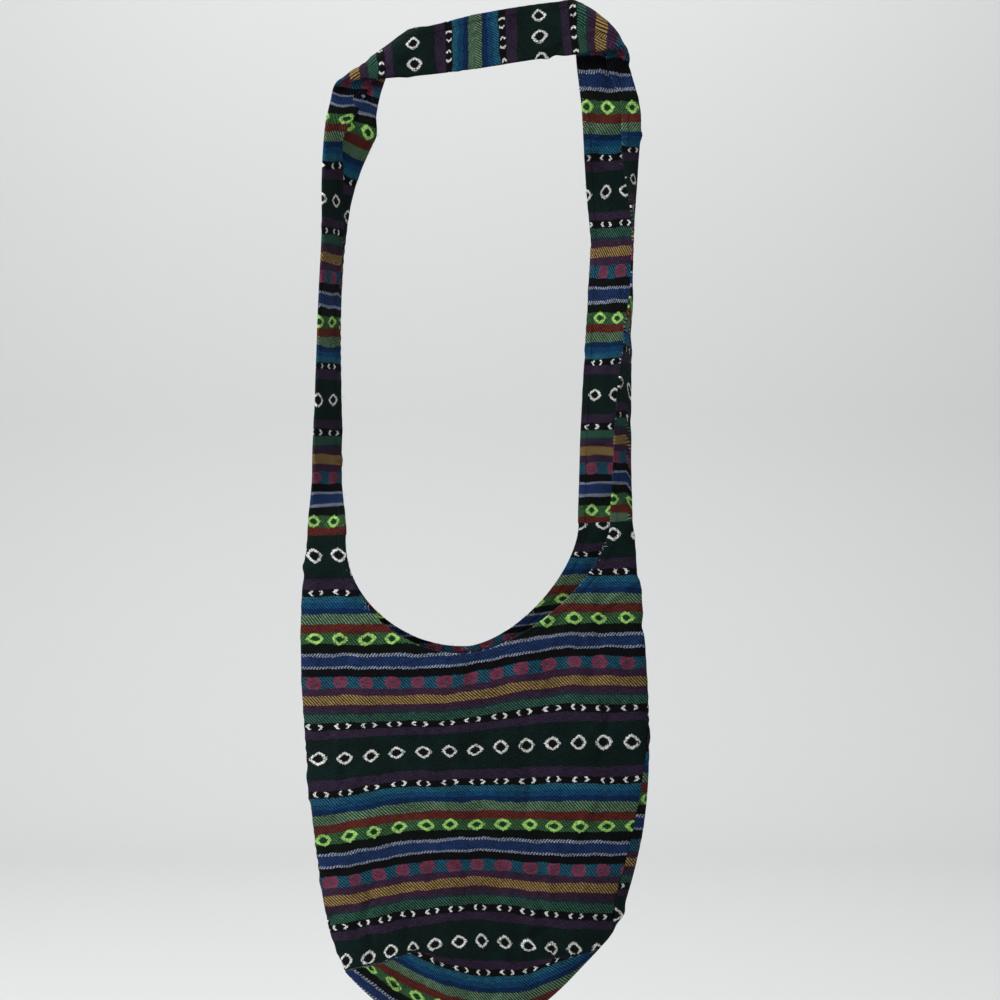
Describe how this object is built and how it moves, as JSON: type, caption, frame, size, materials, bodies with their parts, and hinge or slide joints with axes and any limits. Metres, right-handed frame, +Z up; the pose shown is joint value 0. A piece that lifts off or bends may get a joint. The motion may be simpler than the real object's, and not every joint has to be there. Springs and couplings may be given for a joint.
{
  "type": "woven sling bag",
  "caption": "Soft sling bag of striped woven cotton, with a scooped mouth, a rounded bottom and a wide folded shoulder strap, hung up by the strap",
  "frame": {"origin": "under the middle of the strap's top run, on the lower edge of the strap's middle seam, between the two layers that hang over the arms", "axes": "+Z up along the hung bag, its longest extent; the front panel faces -Y, and Y is the shortest extent; +X to the viewer's right"},
  "size_m": [0.3208, 0.0705, 0.9527],
  "materials": {
    "front_cloth": "matte woven cotton in dark stripes",
    "back_cloth": "matte woven cotton in dark stripes",
    "strap_cloth_left": "matte woven cotton in dark stripes",
    "strap_cloth_right": "matte woven cotton in dark stripes"
  },
  "bodies": {
    "root": {"front_panel": "front_cloth", "back_panel": "back_cloth", "strap_left": "strap_cloth_left", "strap_right": "strap_cloth_right"}
  },
  "joints": []
}
